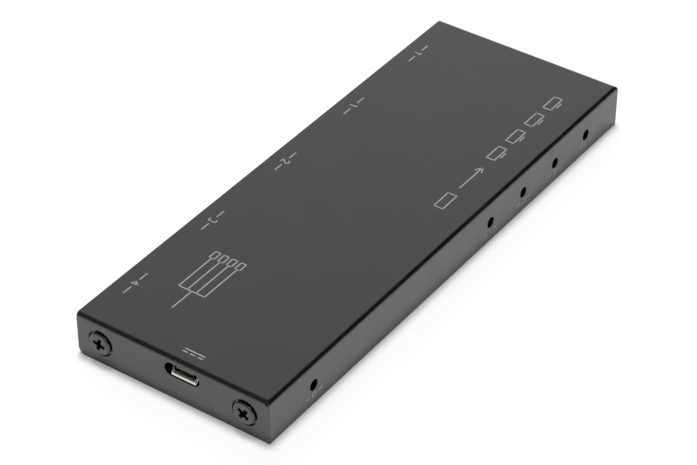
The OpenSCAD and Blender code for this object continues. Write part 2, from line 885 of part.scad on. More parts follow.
// The top with the two end flanges folded down from it, mitred towards the light side
module cover_lid() {
    inner = half_l - fold_r;
    difference() {
        intersection() {
            translate([0, -half_w, case_h])
                mirror([0, 0, 1])
                carry_across(case_w)
                at_both_ends()
                translate([-half_l, 0])
                folded_section(half_l + past, case_h);
            linear_extrude(height = case_h)
                polygon([
                    [-half_l, -half_w],
                    [-inner, -half_w + fold_r],
                    [inner, -half_w + fold_r],
                    [half_l, -half_w],
                    [half_l, half_w],
                    [-half_l, half_w]
                ]);
        }
        at_both_ends() {
            translate([-half_l - past, half_w - flange_corner_r, 0])
                free_corner_cut();
            translate([-half_l - past, -half_w + fold_r / 2, case_h - 2 * fold_r / 3])
                rotate([0, 90, 0])
                cylinder(h = fold_r + past, d = relief_d);
        }
    }
}

// The flange with the light holes, mitred at both ends, with a strip that runs on into the top
module cover_front() {
    outer = half_l - seam_gap;
    inner = outer - fold_r;
    intersection() {
        translate([0, -half_w, case_h])
            mirror([0, 0, 1])
            carry_along(half_l)
            folded_section(2 * fold_r, case_h);
        linear_extrude(height = case_h)
            polygon([
                [-outer, -half_w],
                [outer, -half_w],
                [inner, -half_w + fold_r],
                [inner, half_w],
                [-inner, half_w],
                [-inner, -half_w + fold_r]
            ]);
    }
}

// What a rounded free corner leaves out of its square
module free_corner_cut() {
    length = sheet_t + 2 * past;
    difference() {
        translate([0, 0, -past])
            cube([length, flange_corner_r + past, flange_corner_r + past]);
        translate([-past, 0, flange_corner_r])
            rotate([0, 90, 0])
            cylinder(h = length + 2 * past, r = flange_corner_r);
    }
}

// Countersunk screws that hold the cover to the tabs of the tray.
module cover_screws() {
    color("#1e1e20")
        at_cover_screws()
        difference() {
            union() {
                translate([0, 0, -head_proud])
                    cylinder(h = cover_head_rim, r = cover_head_r);
                translate([0, 0, head_recess_depth])
                    cylinder(h = cover_head_cone, r1 = cover_head_r, r2 = cover_thread_r);
                translate([0, 0, head_recess_depth])
                    cylinder(h = cover_screw_l - cover_head_rim, r = cover_thread_r);
            }
            translate([0, 0, -head_proud])
                rotate([180, 0, cover_cross_turn])
                cross_recess(cover_cross_span);
        }
}

base_tray();
board_standoffs();
insulation_film();
main_board();
board_screws();
for (i = [0 : len(PORTS) - 1]) {
    socket_shell(i);
    socket_insulator(i);
    socket_contacts(i);
}
power_socket_shell();
power_socket_insulator();
power_socket_contacts();
for (i = [0 : len(LIGHTS) - 1])
    light(i);
light_wires();
splitter_chip();
chip_pad();
controller_chip();
memory_chip();
regulator();
coil();
crystal_can();
supply_capacitors();
signal_capacitors();
surge_arrays();
top_cover();
cover_screws();
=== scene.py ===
import math

import bmesh
import bpy
import numpy as np
from mathutils import Matrix, Vector


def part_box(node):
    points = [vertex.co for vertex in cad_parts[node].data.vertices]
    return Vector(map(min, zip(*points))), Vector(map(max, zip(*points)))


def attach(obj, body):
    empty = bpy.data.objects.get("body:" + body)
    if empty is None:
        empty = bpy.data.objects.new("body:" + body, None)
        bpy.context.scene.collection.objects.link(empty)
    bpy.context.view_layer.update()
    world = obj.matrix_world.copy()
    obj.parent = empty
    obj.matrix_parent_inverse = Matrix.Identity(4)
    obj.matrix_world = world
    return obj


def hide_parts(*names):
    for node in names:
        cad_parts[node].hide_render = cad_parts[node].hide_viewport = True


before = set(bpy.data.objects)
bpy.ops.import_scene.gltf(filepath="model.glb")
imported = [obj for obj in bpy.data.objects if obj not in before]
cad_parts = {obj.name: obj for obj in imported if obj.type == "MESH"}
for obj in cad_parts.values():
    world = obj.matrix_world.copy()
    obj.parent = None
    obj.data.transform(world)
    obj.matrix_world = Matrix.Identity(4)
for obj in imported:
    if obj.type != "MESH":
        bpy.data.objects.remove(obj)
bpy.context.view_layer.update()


# Camera
# A long lens stands above the near corner, where the power socket end meets the light side.
# Its place is given by angles in degrees, and by metres from the point that it looks at.
VIEW_AZIMUTH = -55.083
VIEW_ELEVATION = 37.528
VIEW_ROLL = 0.204
VIEW_AIM = Vector((-0.00211, 0.00271, -0.00024))
VIEW_DISTANCE = 0.59740
PICTURE_WIDTH_PX = 697
FOCAL_LENGTH_PX = 2536
SENSOR_WIDTH_MM = 36
NEAREST_SEEN = 0.01
FARTHEST_SEEN = 50


def camera_axes(azimuth, elevation, roll):
    """Right, up and back axes of a camera that stands at an azimuth and an elevation, then rolls
    about its own line of sight: the rolled right axis leans towards up by the roll."""
    azimuth, elevation, roll = np.radians((azimuth, elevation, roll))
    level = Vector((math.cos(azimuth), math.sin(azimuth), 0))
    outward = Vector((math.sin(azimuth), -math.cos(azimuth), 0))
    back = outward * math.cos(elevation) + Vector((0, 0, math.sin(elevation)))
    right = level * math.cos(roll) + back.cross(level) * math.sin(roll)
    return right, back.cross(right), back


camera_data = bpy.data.cameras.new("photo_camera")
camera_data.sensor_width = SENSOR_WIDTH_MM
camera_data.lens = SENSOR_WIDTH_MM * FOCAL_LENGTH_PX / PICTURE_WIDTH_PX
camera_data.clip_start = NEAREST_SEEN
camera_data.clip_end = FARTHEST_SEEN
camera = bpy.data.objects.new("photo_camera", camera_data)
camera_turn = Matrix(camera_axes(VIEW_AZIMUTH, VIEW_ELEVATION, VIEW_ROLL)).transposed()
camera.location = VIEW_AIM + camera_turn.col[2] * VIEW_DISTANCE
camera.rotation_euler = camera_turn.to_euler()
bpy.context.scene.collection.objects.link(camera)
bpy.context.scene.camera = camera
bpy.context.scene.view_settings.view_transform = "Standard"


# Studio
# A white table under soft lights: overhead, in front of the box, and behind it where its top mirrors.
# A black card to the right keeps the fold over the light side dark, and the room is dim.
TABLE_HALF_WIDTH = 4.0
TABLE_DROP = 0.00002
TABLE_COLOUR = (1.0, 1.0, 1.0, 1)
TABLE_ROUGHNESS = 0.9
TABLE_GLOW_SHARE = 0.20
ROOM_COLOUR = (0.12, 0.12, 0.12, 1)
# Each light: name, direction from the box, distance, width and height in metres, radiance, in gloss
SOFT_LIGHTS = (
    ("overhead_light", (0.070, 0.070, 1.0), 1.60, 0.42, 0.42, 37.0, False),
    ("front_light", (-0.32, -0.53, 0.76), 1.30, 0.36, 0.36, 4.20, True),
    ("back_light", (0.65, 0.45, 0.56), 1.30, 2.00, 1.25, 0.57, True),
    ("back_low_light", (0.74, 0.50, 0.33), 1.25, 1.80, 0.45, 0.32, True),
)
CARD_DIRECTION = (0.76, -0.60, 0.52)
CARD_DISTANCE = 0.90
CARD_WIDTH = 1.20
CARD_HEIGHT = 1.10
CARD_COLOUR = (0.004, 0.004, 0.004, 1)
# Points of a mesh that lie closer than this become one
MERGE_DISTANCE = 1e-7
# Faces that meet at more than this angle, in degrees, keep a sharp edge
SMOOTH_ANGLE = 35
# Both sides of a middle
SIDES = (-1, 1)


def surface_object(name, grids):
    """A mesh object from grids of points, each an array of rows, columns and XYZ. Neighbours along
    rows and columns are joined by four-sided faces, and points that coincide become one."""
    faces = []
    start = 0
    for grid in grids:
        rows, columns = grid.shape[:2]
        index = start + np.arange(rows * columns).reshape(rows, columns)
        corners = (index[:-1, :-1], index[:-1, 1:], index[1:, 1:], index[1:, :-1])
        faces.append(np.stack(corners, axis=-1).reshape(-1, 4))
        start += rows * columns
    points = np.vstack([grid.reshape(-1, 3) for grid in grids])
    mesh = bpy.data.meshes.new(name)
    mesh.from_pydata(points.tolist(), [], np.vstack(faces).tolist())
    shape = bmesh.new()
    shape.from_mesh(mesh)
    bmesh.ops.remove_doubles(shape, verts=shape.verts, dist=MERGE_DISTANCE)
    bmesh.ops.recalc_face_normals(shape, faces=shape.faces)
    shape.to_mesh(mesh)
    shape.free()
    mesh.polygons.foreach_set("use_smooth", np.ones(len(mesh.polygons), dtype=bool))
    mesh.set_sharp_from_angle(angle=math.radians(SMOOTH_ANGLE))
    made = bpy.data.objects.new(name, mesh)
    bpy.context.scene.collection.objects.link(made)
    return made


def flat_patch(middle, right, up):
    """A flat patch: its four corners lie at the middle plus or minus two half-side vectors."""
    u, v = np.meshgrid(SIDES, SIDES)
    return np.array(middle) + u[..., None] * np.array(right) + v[..., None] * np.array(up)


table_patch = flat_patch((0, 0, -TABLE_DROP), (TABLE_HALF_WIDTH, 0, 0), (0, TABLE_HALF_WIDTH, 0))
table = surface_object("table", [table_patch])
table_finish = bpy.data.materials.new("white_table")
table_finish.use_nodes = True
tree = table_finish.node_tree
paint = tree.nodes["Principled BSDF"]
paint.inputs["Base Color"].default_value = TABLE_COLOUR
paint.inputs["Roughness"].default_value = TABLE_ROUGHNESS
paint.inputs["Specular IOR Level"].default_value = 0.0
glow = tree.nodes.new("ShaderNodeEmission")
light_path = tree.nodes.new("ShaderNodeLightPath")
seen = tree.nodes.new("ShaderNodeMath")
seen.operation = "MAXIMUM"
seen_through = tree.nodes.new("ShaderNodeMath")
seen_through.operation = "MAXIMUM"
share = tree.nodes.new("ShaderNodeMath")
share.operation = "MULTIPLY"
share.inputs[1].default_value = TABLE_GLOW_SHARE
blend = tree.nodes.new("ShaderNodeMixShader")
tree.links.new(light_path.outputs["Is Camera Ray"], seen.inputs[0])
tree.links.new(light_path.outputs["Is Glossy Ray"], seen.inputs[1])
tree.links.new(seen.outputs[0], seen_through.inputs[0])
tree.links.new(light_path.outputs["Is Transmission Ray"], seen_through.inputs[1])
tree.links.new(seen_through.outputs[0], share.inputs[0])
tree.links.new(share.outputs[0], blend.inputs[0])
tree.links.new(paint.outputs[0], blend.inputs[1])
tree.links.new(glow.outputs[0], blend.inputs[2])
tree.links.new(blend.outputs[0], tree.nodes["Material Output"].inputs["Surface"])
table.data.materials.append(table_finish)

room = bpy.data.worlds.new("dim_room")
room.use_nodes = True
room.node_tree.nodes["Background"].inputs["Color"].default_value = ROOM_COLOUR
bpy.context.scene.world = room

for name, direction, distance, width, height, radiance, in_gloss in SOFT_LIGHTS:
    lamp = bpy.data.lights.new(name, "AREA")
    lamp.shape = "RECTANGLE"
    lamp.size = width
    lamp.size_y = height
    lamp.energy = radiance * math.pi * width * height
    light = bpy.data.objects.new(name, lamp)
    towards = Vector(direction).normalized()
    light.location = towards * distance
    light.rotation_euler = towards.to_track_quat("Z", "Y").to_euler()
    light.visible_glossy = in_gloss
    bpy.context.scene.collection.objects.link(light)

towards = Vector(CARD_DIRECTION).normalized()
card_right = towards.cross(Vector((0, 0, 1))).normalized()
card_up = card_right.cross(towards)
card_patch = flat_patch(towards * CARD_DISTANCE, card_right * CARD_WIDTH / 2, card_up * CARD_HEIGHT / 2)
card = surface_object("black_card", [card_patch])
card.visible_camera = False
card_finish = bpy.data.materials.new("black_card")
card_finish.use_nodes = True
velvet = card_finish.node_tree.nodes["Principled BSDF"]
velvet.inputs["Base Color"].default_value = CARD_COLOUR
velvet.inputs["Specular IOR Level"].default_value = 0.0
card.data.materials.append(card_finish)


# Base tray
# The lower half of the case, folded from thin steel sheet and powder coated black.
# Its tabs take the cover screws, and its one wall holds the video sockets.
COAT_DARK = (0.0036, 0.0036, 0.0038, 1)
COAT_LIGHT = (0.0060, 0.0060, 0.0063, 1)
COAT_IOR = 1.50
# A grey pattern is used over its middle, from this low value to this high one
PATTERN_LOW = 0.3
PATTERN_HIGH = 0.7


def new_finish(name, metallic=0.0, specular=0.5):
    """A material with one Principled shader, whose even values are set on its own sockets."""
    finish = bpy.data.materials.new(name)
    finish.use_nodes = True
    shader = finish.node_tree.nodes["Principled BSDF"]
    shader.inputs["Metallic"].default_value = metallic
    shader.inputs["Specular IOR Level"].default_value = specular
    return finish, finish.node_tree, shader


def cloud(tree, cells, stretch=(1, 1, 1), detail=2.0):
    """Soft noise on Object coordinates, with so many cells to a metre, times a share for each axis."""
    place = tree.nodes.new("ShaderNodeTexCoord")
    mapping = tree.nodes.new("ShaderNodeMapping")
    mapping.inputs["Scale"].default_value = [cells * share for share in stretch]
    noise = tree.nodes.new("ShaderNodeTexNoise")
    noise.inputs["Scale"].default_value = 1
    noise.inputs["Detail"].default_value = detail
    tree.links.new(place.outputs["Object"], mapping.inputs["Vector"])
    tree.links.new(mapping.outputs["Vector"], noise.inputs["Vector"])
    return noise.outputs["Fac"]


def tint(tree, shader, pattern, dark, light):
    """Base colour that runs from dark to light over the middle of a grey pattern."""
    ramp = tree.nodes.new("ShaderNodeValToRGB")
    ramp.color_ramp.elements[0].position = PATTERN_LOW
    ramp.color_ramp.elements[0].color = dark
    ramp.color_ramp.elements[1].position = PATTERN_HIGH
    ramp.color_ramp.elements[1].color = light
    tree.links.new(pattern, ramp.inputs["Fac"])
    tree.links.new(ramp.outputs["Color"], shader.inputs["Base Color"])


def sheen(tree, shader, pattern, smooth, rough):
    """Roughness that runs between two values over the middle of a grey pattern."""
    span = tree.nodes.new("ShaderNodeMapRange")
    span.inputs["From Min"].default_value = PATTERN_LOW
    span.inputs["From Max"].default_value = PATTERN_HIGH
    span.inputs["To Min"].default_value = smooth
    span.inputs["To Max"].default_value = rough
    tree.links.new(pattern, span.inputs["Value"])
    tree.links.new(span.outputs["Result"], shader.inputs["Roughness"])


def relief(tree, shader, pattern, depth):
    """Small bumps whose height is a grey pattern times a depth in metres."""
    bump = tree.nodes.new("ShaderNodeBump")
    bump.inputs["Distance"].default_value = depth
    tree.links.new(pattern, bump.inputs["Height"])
    tree.links.new(bump.outputs["Normal"], shader.inputs["Normal"])


def dress(finish, *names):
    """Puts a finish on every material slot of the named parts."""
    for name in names:
        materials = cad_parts[name].data.materials
        materials.clear()
        materials.append(finish)


coat, tree, shader = new_finish("black_powder_coat", specular=1.0)
shader.inputs["IOR"].default_value = COAT_IOR
tint(tree, shader, cloud(tree, cells=90, detail=4), COAT_DARK, COAT_LIGHT)
sheen(tree, shader, cloud(tree, cells=260, detail=3), smooth=0.27, rough=0.33)
relief(tree, shader, cloud(tree, cells=1600, detail=2), depth=1.5e-6)
dress(coat, "base_tray")


# Standoffs and board screws
# Steel pillars riveted into the tray, and pan-head screws that hold the board down on them.
# Both are turned or rolled steel with bright zinc plating.
ZINC_DARK = (0.46, 0.47, 0.48, 1)
ZINC_LIGHT = (0.66, 0.67, 0.68, 1)
zinc, tree, shader = new_finish("bright_zinc_plate", metallic=1.0)
tint(tree, shader, cloud(tree, cells=900, detail=4), ZINC_DARK, ZINC_LIGHT)
sheen(tree, shader, cloud(tree, cells=2400, detail=3), smooth=0.22, rough=0.36)
relief(tree, shader, cloud(tree, cells=5200, stretch=(1, 1, 6)), depth=3e-6)
dress(zinc, "board_standoffs", "board_screws")


# Insulation film
# A clear amber film, cut to the tray's floor with round holes for the standoffs.
# It is held by its own adhesive and keeps the solder side off the steel.
FILM_DARK = (0.55, 0.46, 0.26, 1)
FILM_LIGHT = (0.72, 0.64, 0.42, 1)
film, tree, shader = new_finish("amber_film")
tint(tree, shader, cloud(tree, cells=120), FILM_DARK, FILM_LIGHT)
sheen(tree, shader, cloud(tree, cells=700), smooth=0.14, rough=0.26)
relief(tree, shader, cloud(tree, cells=160, detail=1), depth=4e-5)
dress(film, "insulation_film")


# Circuit board
# Glass-fibre laminate with green solder resist over etched copper, notched for the sockets.
# The tracks run across the board to the sockets, so the pattern is drawn out that way.
RESIST_DARK = (0.004, 0.022, 0.012, 1)
RESIST_LIGHT = (0.008, 0.048, 0.023, 1)
resist, tree, shader = new_finish("green_solder_resist")
tint(tree, shader, cloud(tree, cells=800, stretch=(1.0, 0.12, 1.0), detail=1), RESIST_DARK, RESIST_LIGHT)
sheen(tree, shader, cloud(tree, cells=1500), smooth=0.22, rough=0.34)
relief(tree, shader, cloud(tree, cells=800, stretch=(1.0, 0.12, 1.0), detail=1), depth=3e-5)
dress(resist, "main_board")


# Chips and small parts
# Moulded black chips, a coil, ceramic capacitors and a crystal in a plated can, soldered to the board.
# A soft grey pad, pressed between the largest chip and the cover, carries its heat away.
CHIP_DARK = (0.012, 0.012, 0.013, 1)
CHIP_LIGHT = (0.035, 0.035, 0.037, 1)
chip, tree, shader = new_finish("black_chip_moulding")
tint(tree, shader, cloud(tree, cells=5000, detail=4), CHIP_DARK, CHIP_LIGHT)
sheen(tree, shader, cloud(tree, cells=3000), smooth=0.48, rough=0.64)
relief(tree, shader, cloud(tree, cells=9000), depth=6e-6)
dress(chip, "splitter_chip", "controller_chip", "memory_chip", "regulator", "surge_arrays")
dress(zinc, "crystal_can")

PAD_DARK = (0.20, 0.24, 0.28, 1)
PAD_LIGHT = (0.32, 0.36, 0.40, 1)
pad, tree, shader = new_finish("grey_heat_pad")
tint(tree, shader, cloud(tree, cells=1500, detail=4), PAD_DARK, PAD_LIGHT)
sheen(tree, shader, cloud(tree, cells=2000), smooth=0.60, rough=0.80)
relief(tree, shader, cloud(tree, cells=2500), depth=3e-5)
dress(pad, "chip_pad")

FERRITE_DARK = (0.030, 0.030, 0.031, 1)
FERRITE_LIGHT = (0.075, 0.075, 0.078, 1)
ferrite, tree, shader = new_finish("sintered_ferrite")
tint(tree, shader, cloud(tree, cells=4000, detail=5), FERRITE_DARK, FERRITE_LIGHT)
sheen(tree, shader, cloud(tree, cells=4000), smooth=0.55, rough=0.75)
relief(tree, shader, cloud(tree, cells=6000), depth=1e-5)
dress(ferrite, "coil")

CERAMIC_DARK = (0.30, 0.21, 0.11, 1)
CERAMIC_LIGHT = (0.44, 0.33, 0.20, 1)
ceramic, tree, shader = new_finish("tan_ceramic")
tint(tree, shader, cloud(tree, cells=3500, detail=4), CERAMIC_DARK, CERAMIC_LIGHT)
sheen(tree, shader, cloud(tree, cells=3500), smooth=0.40, rough=0.55)
relief(tree, shader, cloud(tree, cells=7000), depth=6e-6)
dress(ceramic, "supply_capacitors", "signal_capacitors")


# Video sockets
# Five drawn shells of nickel-plated steel, soldered into the board by four ears each.
# A black moulding inside each carries nineteen gold-flashed contacts, and leaf springs grip the plug.
PORTS = ("output_4", "output_3", "output_2", "output_1", "input")
NICKEL_DARK = (0.60, 0.585, 0.54, 1)
NICKEL_LIGHT = (0.76, 0.745, 0.70, 1)
nickel, tree, shader = new_finish("nickel_plate", metallic=1.0)
tint(tree, shader, cloud(tree, cells=500, stretch=(1, 0.2, 1), detail=4), NICKEL_DARK, NICKEL_LIGHT)
sheen(tree, shader, cloud(tree, cells=2200, stretch=(1, 0.15, 1), detail=3), smooth=0.18, rough=0.32)
relief(tree, shader, cloud(tree, cells=6000, stretch=(1, 0.1, 1)), depth=2e-6)
dress(nickel, *("socket_shell_" + port for port in PORTS))

MOULDING_DARK = (0.010, 0.010, 0.010, 1)
MOULDING_LIGHT = (0.024, 0.024, 0.025, 1)
moulding, tree, shader = new_finish("black_socket_moulding")
tint(tree, shader, cloud(tree, cells=2500, detail=4), MOULDING_DARK, MOULDING_LIGHT)
sheen(tree, shader, cloud(tree, cells=2500), smooth=0.40, rough=0.56)
relief(tree, shader, cloud(tree, cells=7000), depth=5e-6)
dress(moulding, *("socket_insulator_" + port for port in PORTS))

GOLD_DARK = (0.70, 0.47, 0.16, 1)
GOLD_LIGHT = (0.86, 0.65, 0.30, 1)
gold, tree, shader = new_finish("gold_flash", metallic=1.0)
tint(tree, shader, cloud(tree, cells=3000, detail=3), GOLD_DARK, GOLD_LIGHT)
sheen(tree, shader, cloud(tree, cells=3000), smooth=0.20, rough=0.34)
relief(tree, shader, cloud(tree, cells=8000, stretch=(1, 0.1, 1)), depth=2e-6)
dress(gold, *("socket_contacts_" + port for port in PORTS))

LEAF_LENGTH = 0.0060
LEAF_WIDTH = 0.0020
LEAF_SETBACK = 0.0012
LEAF_BOW = 0.00045
LEAF_THICKNESS = 0.0002
LEAF_STEPS = 12
SHELL_THICKNESS = 0.0004
LEAF_SPREAD_ABOVE = 0.0033
LEAF_SPREAD_BELOW = 0.0026


def strip(path, across, lift, width, thickness):
    """A flat strip along a path: at each point a rectangle, half its width to either side along one
    direction and its thickness along another. Each end closes on the path."""
    side = np.asarray(across) * width / 2
    rise = np.asarray(lift) * thickness
    loop = np.stack((path - side, path - side + rise, path + side + rise, path + side, path - side), axis=1)
    ends = np.repeat((path[[0, -1]] + rise / 2)[:, None], loop.shape[1], axis=1)
    return np.concatenate((ends[:1], loop, ends[1:]))


def leaf_spring(x, mouth_y, wall_z, inwards):
    """A leaf spring in a video socket: a strip along the socket that bows inwards from the wall as
    half a sine wave, with both ends sunk in the wall."""
    along = np.linspace(0, 1, LEAF_STEPS + 1)
    y = mouth_y - LEAF_SETBACK - LEAF_LENGTH * along
    z = wall_z + inwards * (LEAF_BOW * np.sin(np.pi * along) - LEAF_THICKNESS / 2)
    path = np.stack((np.full_like(y, x), y, z), axis=-1)
    return strip(path, (1, 0, 0), (0, 0, inwards), LEAF_WIDTH, LEAF_THICKNESS)


def fit(piece, finish):
    """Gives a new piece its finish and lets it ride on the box."""
    piece.data.materials.append(finish)
    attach(piece, "root")


leaves = []
for port in PORTS:
    shell_low, shell_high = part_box("socket_shell_" + port)
    middle_x = (shell_low.x + shell_high.x) / 2
    for side in SIDES:
        leaves.append(leaf_spring(middle_x + side * LEAF_SPREAD_ABOVE, shell_high.y,
                                  shell_high.z - SHELL_THICKNESS, -1))
        leaves.append(leaf_spring(middle_x + side * LEAF_SPREAD_BELOW, shell_high.y,
                                  shell_low.z + SHELL_THICKNESS, 1))
fit(surface_object("leaf_springs", leaves), nickel)


# Power socket
# A shell stamped from nickel-plated sheet, soldered to the board behind its slot in the near end.
# Its foot and slanting sides flare out into a lip, and a grey tongue inside carries five contacts.
POWER_WALL = 0.00025
POWER_FOOT_HALF_WIDTH = 0.0030
POWER_SHOULDER = 0.0013
POWER_CORNER_CUT = 0.0005
POWER_CORNER_ROUND = 0.00012
POWER_ROUND_POINTS = 6
LIP_REACH = 0.00100
LIP_STEP = 0.0005
LIP_DROP = 0.00065
LIP_ROUND_SHARE = 0.60
LIP_FLARE_FOOT = 0.0003
LIP_FLARE_SHOULDER = 0.00010
LIP_BEND = 84
LIP_BEND_ROWS = 10
LIP_FLANGE_ROWS = 4
LIP_REACH_SHARE = 0.90
LIP_FADE_HEIGHT = 0.001235
LIP_FADE_SPAN = 0.000845
power_low, power_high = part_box("power_socket_shell")
power_middle_y = (power_low.y + power_high.y) / 2
power_half_width = (power_high.y - power_low.y) / 2
power_foot_z = power_low.z + LIP_STEP
power_height = power_high.z - power_foot_z
power_length = power_high.x - power_low.x


def power_corners(inset, flare_foot=0.0, flare_shoulder=0.0, drop=0.0):
    """Corners of the power socket's outline, set in from its outer face: a narrow foot, slanting
    sides up to a shoulder and a wide top with cut corners. The foot and shoulder may flare out."""
    wide = power_half_width - inset
    high = power_height - inset
    half = [(POWER_FOOT_HALF_WIDTH - inset + flare_foot, inset - drop),
            (wide + flare_shoulder, POWER_SHOULDER),
            (wide, high - POWER_CORNER_CUT),
            (wide - POWER_CORNER_CUT, high)]
    return np.array(half + [(-across, up) for across, up in reversed(half)])


def round_corners(corners, cut):
    """A closed outline through the given corners, each cut back and bridged by a parabola."""
    before = corners - np.roll(corners, 1, axis=0)
    after = np.roll(corners, -1, axis=0) - corners
    start = corners - cut * before / np.linalg.norm(before, axis=1, keepdims=True)
    end = corners + cut * after / np.linalg.norm(after, axis=1, keepdims=True)
    t = np.linspace(0, 1, POWER_ROUND_POINTS)[:, None]
    bridges = (1 - t) ** 2 * start[:, None] + 2 * t * (1 - t) * corners[:, None] + t ** 2 * end[:, None]
    outline = bridges.reshape(-1, 2)
    return np.vstack((outline, outline[:1]))


def power_shell():
    """The power socket's shell: its outline carried along the socket, inside face first and then the
    outside face back again. Towards the mouth the lower part bends outwards along a quarter round
    and runs on as a straight flange, by a share that fades smoothly to nothing up the sides."""
    inner = round_corners(power_corners(POWER_WALL), POWER_CORNER_ROUND)
    flares = np.array((LIP_FLARE_FOOT, LIP_FLARE_SHOULDER, LIP_DROP)) + POWER_WALL
    lip = round_corners(power_corners(POWER_WALL, *flares), POWER_CORNER_ROUND)
    outer = round_corners(power_corners(0), POWER_CORNER_ROUND)
    share = np.clip((LIP_FADE_HEIGHT - inner[:, 1]) / LIP_FADE_SPAN, 0, 1)
    share = share * share * (3 - 2 * share)
    bend = np.append(np.linspace(0, LIP_BEND, LIP_BEND_ROWS), np.full(LIP_FLANGE_ROWS, LIP_BEND))
    bend = np.radians(bend)[:, None]
    flange = np.append(np.zeros(LIP_BEND_ROWS), np.linspace(0, 1, LIP_FLANGE_ROWS + 1)[1:])[:, None]
    rounded = (1 - np.cos(bend)) / (1 - np.cos(bend[-1]))
    outward = LIP_ROUND_SHARE * rounded + (1 - LIP_ROUND_SHARE) * flange
    forward = LIP_REACH_SHARE * np.sin(bend) / np.sin(bend[-1]) + (1 - LIP_REACH_SHARE) * flange
    move = outward[..., None] * share[:, None] * (lip - inner)
    depth = LIP_REACH * (1 - forward * share)
    inside = np.concatenate((inner[None] + move, depth[..., None]), axis=-1)
    thin = share * (1 - np.cos(bend))
    skin = outer + thin[..., None] * (inner - outer)
    back_off = depth + POWER_WALL * np.sin(bend) * share
    outside = np.concatenate((skin + move, back_off[..., None]), axis=-1)
    far = np.full((len(inner), 1), power_length)
    inner_end = np.hstack((inner, far))[None]
    outer_end = np.hstack((outer, far))[None]
    local = np.concatenate((inner_end, inside, outside[::-1], outer_end, inner_end))
    return np.stack((power_low.x + local[..., 2], power_middle_y + local[..., 0],
                     power_foot_z + local[..., 1]), axis=-1)


shell = surface_object("power_shell", [power_shell()])
fit(shell, nickel)
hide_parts("power_socket_shell")

TONGUE_DARK = (0.085, 0.080, 0.073, 1)
TONGUE_LIGHT = (0.130, 0.122, 0.112, 1)
tongue, tree, shader = new_finish("grey_tongue_moulding")
tint(tree, shader, cloud(tree, cells=2500, detail=4), TONGUE_DARK, TONGUE_LIGHT)
sheen(tree, shader, cloud(tree, cells=2500), smooth=0.36, rough=0.50)
relief(tree, shader, cloud(tree, cells=7000), depth=5e-6)
dress(tongue, "power_socket_insulator")
dress(gold, "power_socket_contacts")


# Indicator lights
# Small domed lights of smoked resin, unlit, in front of the board's edge behind their holes.
# Two tinned wires from each are soldered side by side under the board.
LIGHTS = ("output_4", "output_3", "output_2", "output_1", "power")
RESIN_DARK = (0.006, 0.006, 0.007, 1)
RESIN_LIGHT = (0.016, 0.016, 0.018, 1)
resin, tree, shader = new_finish("smoked_resin")
tint(tree, shader, cloud(tree, cells=900), RESIN_DARK, RESIN_LIGHT)
sheen(tree, shader, cloud(tree, cells=1200), smooth=0.12, rough=0.22)
relief(tree, shader, cloud(tree, cells=1500), depth=4e-6)
dress(resin, *("light_" + light for light in LIGHTS))

TIN_DARK = (0.50, 0.51, 0.52, 1)
TIN_LIGHT = (0.68, 0.69, 0.70, 1)
tin, tree, shader = new_finish("tinned_wire", metallic=1.0)
tint(tree, shader, cloud(tree, cells=2000, detail=4), TIN_DARK, TIN_LIGHT)
sheen(tree, shader, cloud(tree, cells=2500), smooth=0.26, rough=0.42)
relief(tree, shader, cloud(tree, cells=6000, stretch=(1, 0.1, 1)), depth=4e-6)
dress(tin, "light_wires")


# Top cover
# The upper half of the case: one steel sheet, punched flat, with three flanges folded down from it.
# Its corners are mitred with a relief hole beside each, and it is powder coated after folding.
SHEET = 0.0008
FOLD_RADIUS = 0.0011
FREE_CORNER = 0.0017
# Rounding of the sheet's cut edges, where they turn by more than an angle in degrees
EDGE_ROUND = 0.00003
EDGE_SEGMENTS = 2
EDGE_ANGLE = 80
# Mitred corners: turns are degrees down the fold, from the top
SEAM = 0.00006
SEAM_START = 45
RIDGE_RADIUS = 0.00045
RELIEF_TURN = 67
RELIEF_RADIUS = 0.00040
RELIEF_DEPTH = 0.0009
# Screw recesses, power slot and light holes
RECESS_RADIUS = 0.0034
RECESS_DEPTH = 0.00068
RECESS_OVERLAP = 0.00001
SCREW_HEAD_RADIUS = 0.00265
COUNTERSINK_GAP = 0.00013
COUNTERSINK_STEP = 0.0002
SLOT_HALF_LENGTH = 0.0048
SLOT_RADIUS = 0.00175
SLOT_SHIFT = 0.0003
SLOT_GAP_ABOVE = 0.0002
LIGHT_HOLE_RADIUS = 0.0014
# Mesh: lengths of the stretches that hold a hole, then rows, columns and steps
SCREW_CELL = 0.0095
SLOT_CELL = 0.0125
LIGHT_CELL = 0.0060
MITRE_STRETCH = 2 * FOLD_RADIUS
RIM_STEP = 0.0003
FLANGE_TOP_STEP = 0.00018
PLACE_DECIMALS = 9
CELL_ROWS = 8
MITRE_COLUMNS = 4
LIGHT_COLUMNS = 8
END_COLUMNS = (MITRE_COLUMNS, 10, 6, 14, 8, 10, 4)
RIDGE_COLUMNS = 8
RECESS_STEPS = 48
FOLD_STEPS = 12
# The ridge keeps the folds' own steps, down to the turn where the seam starts
RIDGE_STEPS = FOLD_STEPS * SEAM_START // 90


def box_middle(name):
    """Middle of a part's box: half the sum of its two corners."""
    low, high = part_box(name)
    return (low + high) / 2


half_l, half_w, top_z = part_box("top_cover")[1]
flange_z = top_z - FOLD_RADIUS
screw_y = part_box("cover_screws")[1].y - SCREW_HEAD_RADIUS
screw_z = box_middle("cover_screws").z
slot_y = power_middle_y + SLOT_SHIFT
slot_z = power_high.z + SLOT_GAP_ABOVE - SLOT_RADIUS
light_places = sorted(box_middle("light_" + light).x for light in LIGHTS)
light_z = box_middle("light_power").z


def spaced(low, high, columns, crowd):
    """Places along a stretch: even steps, or steps that grow as a square away from a crowded end, the
    low one for a negative crowd and the high one for a positive."""
    share = np.linspace(0, 1, columns + 1)
    if crowd < 0:
        share = share ** 2
    if crowd > 0:
        share = 1 - (1 - share) ** 2
    return low + (high - low) * share


